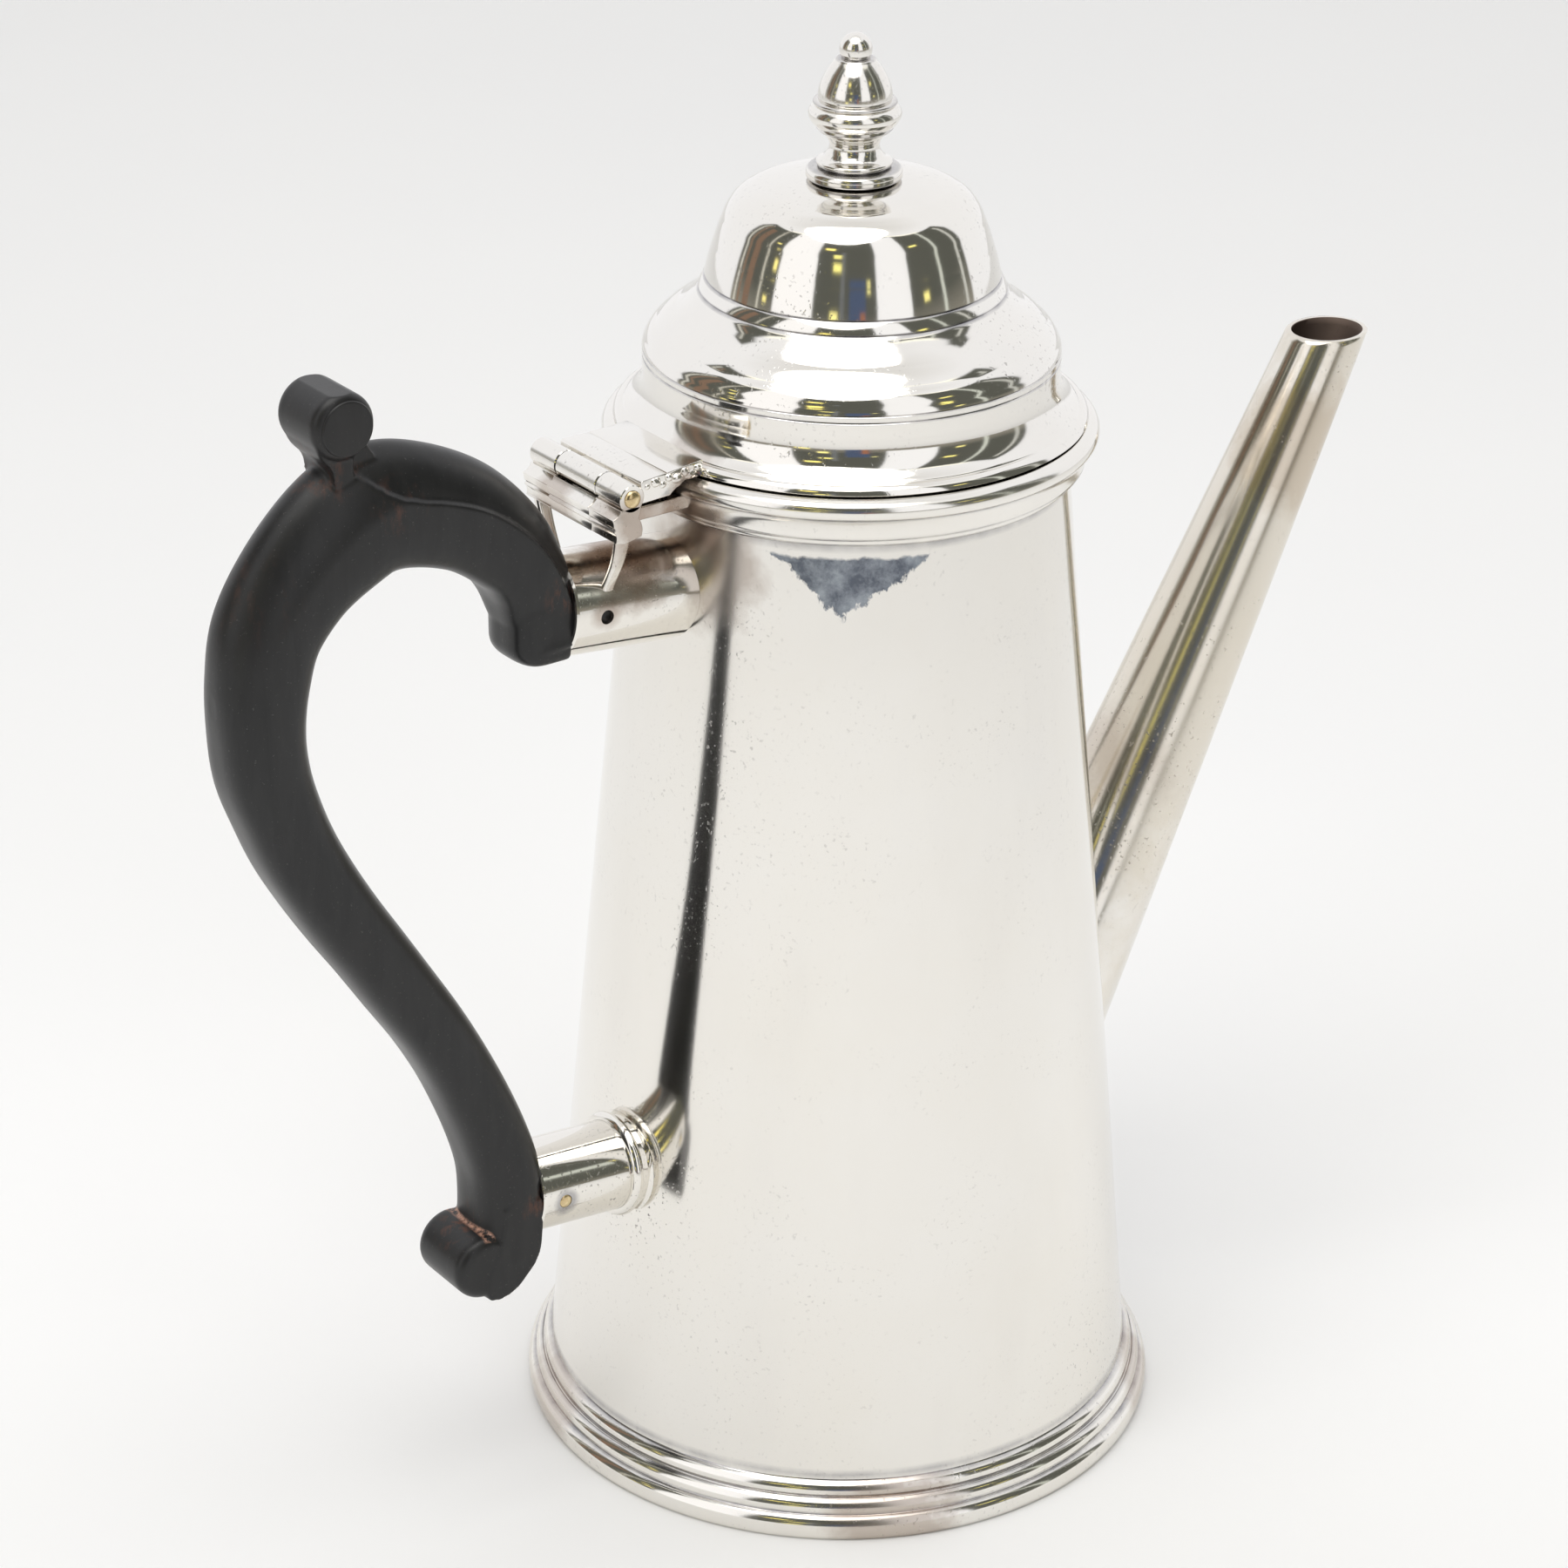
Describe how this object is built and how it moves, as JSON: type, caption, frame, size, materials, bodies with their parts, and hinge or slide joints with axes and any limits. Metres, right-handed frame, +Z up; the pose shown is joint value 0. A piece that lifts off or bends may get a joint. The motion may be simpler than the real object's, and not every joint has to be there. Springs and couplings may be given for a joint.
{
  "type": "coffee pot",
  "caption": "Tall tapered silver coffee pot with a hinged domed lid, a turned finial, a straight slanted spout and a scrolled dark wooden handle.",
  "frame": {"origin": "on the axis of the pot, at the underside of the foot", "axes": "+Z up along the pot's axis, +X towards the spout, -X towards the handle, the hinge pin lies along Y"},
  "size_m": [0.2171, 0.104, 0.23],
  "materials": {
    "silver_body": "polished, finely scratched",
    "silver_foot": "polished, finely scratched",
    "silver_rim": "polished, finely scratched",
    "silver_spout": "polished, finely scratched",
    "silver_socket": "polished, finely scratched",
    "ebonised_wood": "satin",
    "dark_pin": "dull",
    "silver_pin": "polished, finely scratched",
    "silver_hinge": "polished, finely scratched",
    "brass_pin": "polished",
    "silver_lid": "polished, finely scratched",
    "silver_lid_inside": "polished, finely scratched",
    "silver_hinge_leaf": "polished, finely scratched",
    "silver_finial": "polished, finely scratched"
  },
  "bodies": {
    "pot": {"body_shell": "silver_body", "base_disc": "silver_body", "foot_ring": "silver_foot", "rim_moulding": "silver_rim", "spout": "silver_spout", "upper_socket": "silver_socket", "lower_socket": "silver_socket", "lower_socket_collar": "silver_socket", "handle": "ebonised_wood", "upper_handle_pin": "dark_pin", "lower_handle_pin": "silver_pin", "hinge_bracket": "silver_hinge", "hinge_pin": "brass_pin", "hinge_strut_front": "silver_hinge", "hinge_strut_rear": "silver_hinge"},
    "lid": {"lid_dome": "silver_lid", "lid_flange": "silver_lid", "lid_bezel": "silver_lid_inside", "hinge_leaf": "silver_hinge_leaf", "finial": "silver_finial", "finial_stud": "silver_lid_inside", "finial_washer": "silver_lid_inside", "finial_nut": "silver_lid_inside"}
  },
  "joints": [
    {"name": "lid_hinge", "type": "hinge", "parent": "pot", "child": "lid", "pos_m": [-0.0483, 0, 0.1717], "axis": [0, -1, 0], "range_deg": [0, 98]}
  ]
}
